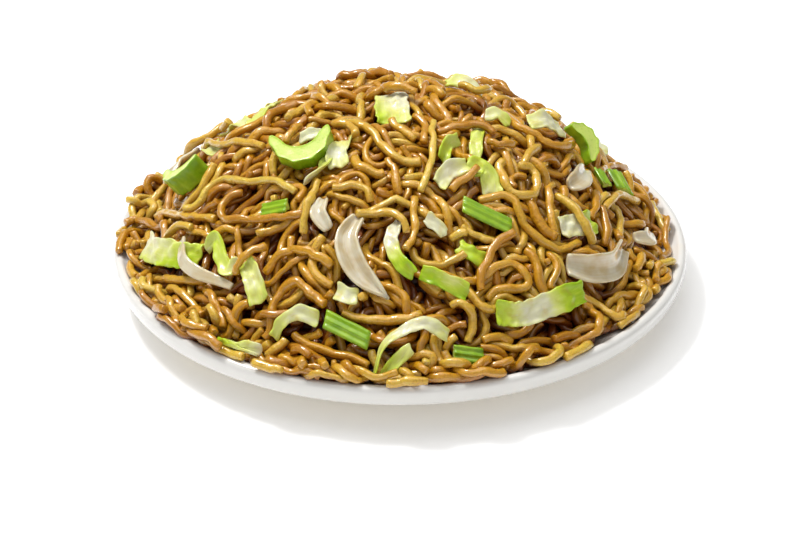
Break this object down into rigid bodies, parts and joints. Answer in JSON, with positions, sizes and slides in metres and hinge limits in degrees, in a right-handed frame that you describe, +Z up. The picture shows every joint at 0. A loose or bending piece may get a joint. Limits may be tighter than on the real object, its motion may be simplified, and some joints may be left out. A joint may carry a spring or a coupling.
{
  "type": "plate of fried noodles",
  "caption": "Round white dinner plate heaped with stir-fried egg noodles, celery slices, cabbage shreds and onion petals.",
  "frame": {"origin": "centre of the plate's foot ring, on the table it stands on", "axes": "+Z up out of the plate; -Y towards the diner, +X to the diner's right"},
  "size_m": [0.23, 0.23, 0.0838],
  "materials": {
    "white_glaze": "smooth glossy white glaze",
    "fried_noodle": "oiled golden brown noodle",
    "celery_green": "moist green stalk",
    "cabbage_pale": "moist pale leaf, green at its edges",
    "onion_clear": "wet translucent petal"
  },
  "bodies": {
    "root": {"cabbage_arch_left": "cabbage_pale", "cabbage_arch_right": "cabbage_pale", "cabbage_back_left": "cabbage_pale", "cabbage_back_low": "cabbage_pale", "cabbage_back_middle": "cabbage_pale", "cabbage_back_right": "cabbage_pale", "cabbage_behind_celery": "cabbage_pale", "cabbage_bit_centre": "cabbage_pale", "cabbage_bit_low": "cabbage_pale", "cabbage_bow_left": "cabbage_pale", "cabbage_bow_right": "cabbage_pale", "cabbage_curl": "cabbage_pale", "cabbage_curved_low": "cabbage_pale", "cabbage_deep": "cabbage_pale", "cabbage_drop_left": "cabbage_pale", "cabbage_fold_left": "cabbage_pale", "cabbage_fold_lower": "cabbage_pale", "cabbage_fold_upper": "cabbage_pale", "cabbage_hook": "cabbage_pale", "cabbage_left_ridge": "cabbage_pale", "cabbage_left_top": "cabbage_pale", "cabbage_left_upper": "cabbage_pale", "cabbage_peak": "cabbage_pale", "cabbage_ribbon_left": "cabbage_pale", "cabbage_right": "cabbage_pale", "cabbage_right_ridge": "cabbage_pale", "cabbage_right_white": "cabbage_pale", "cabbage_rim": "cabbage_pale", "cabbage_stick": "cabbage_pale", "cabbage_strip_centre": "cabbage_pale", "cabbage_strip_right": "cabbage_pale", "cabbage_top": "cabbage_pale", "celery_bit_back": "celery_green", "celery_bit_front": "celery_green", "celery_bit_right": "celery_green", "celery_crescent_back": "celery_green", "celery_crescent_upper": "celery_green", "celery_dark_left": "celery_green", "celery_ribbed_back": "celery_green", "celery_ribbed_left": "celery_green", "celery_right": "celery_green", "celery_round_right": "celery_green", "celery_slab_back": "celery_green", "celery_slab_centre": "celery_green", "celery_slab_front": "celery_green", "noodle_heap": "fried_noodle", "onion_arc_left": "onion_clear", "onion_back_left": "onion_clear", "onion_back_right": "onion_clear", "onion_bit_right": "onion_clear", "onion_curl_upper": "onion_clear", "onion_left_edge": "onion_clear", "onion_petal_left": "onion_clear", "onion_petal_right": "onion_clear", "onion_right_upper": "onion_clear", "plate": "white_glaze"}
  },
  "joints": []
}
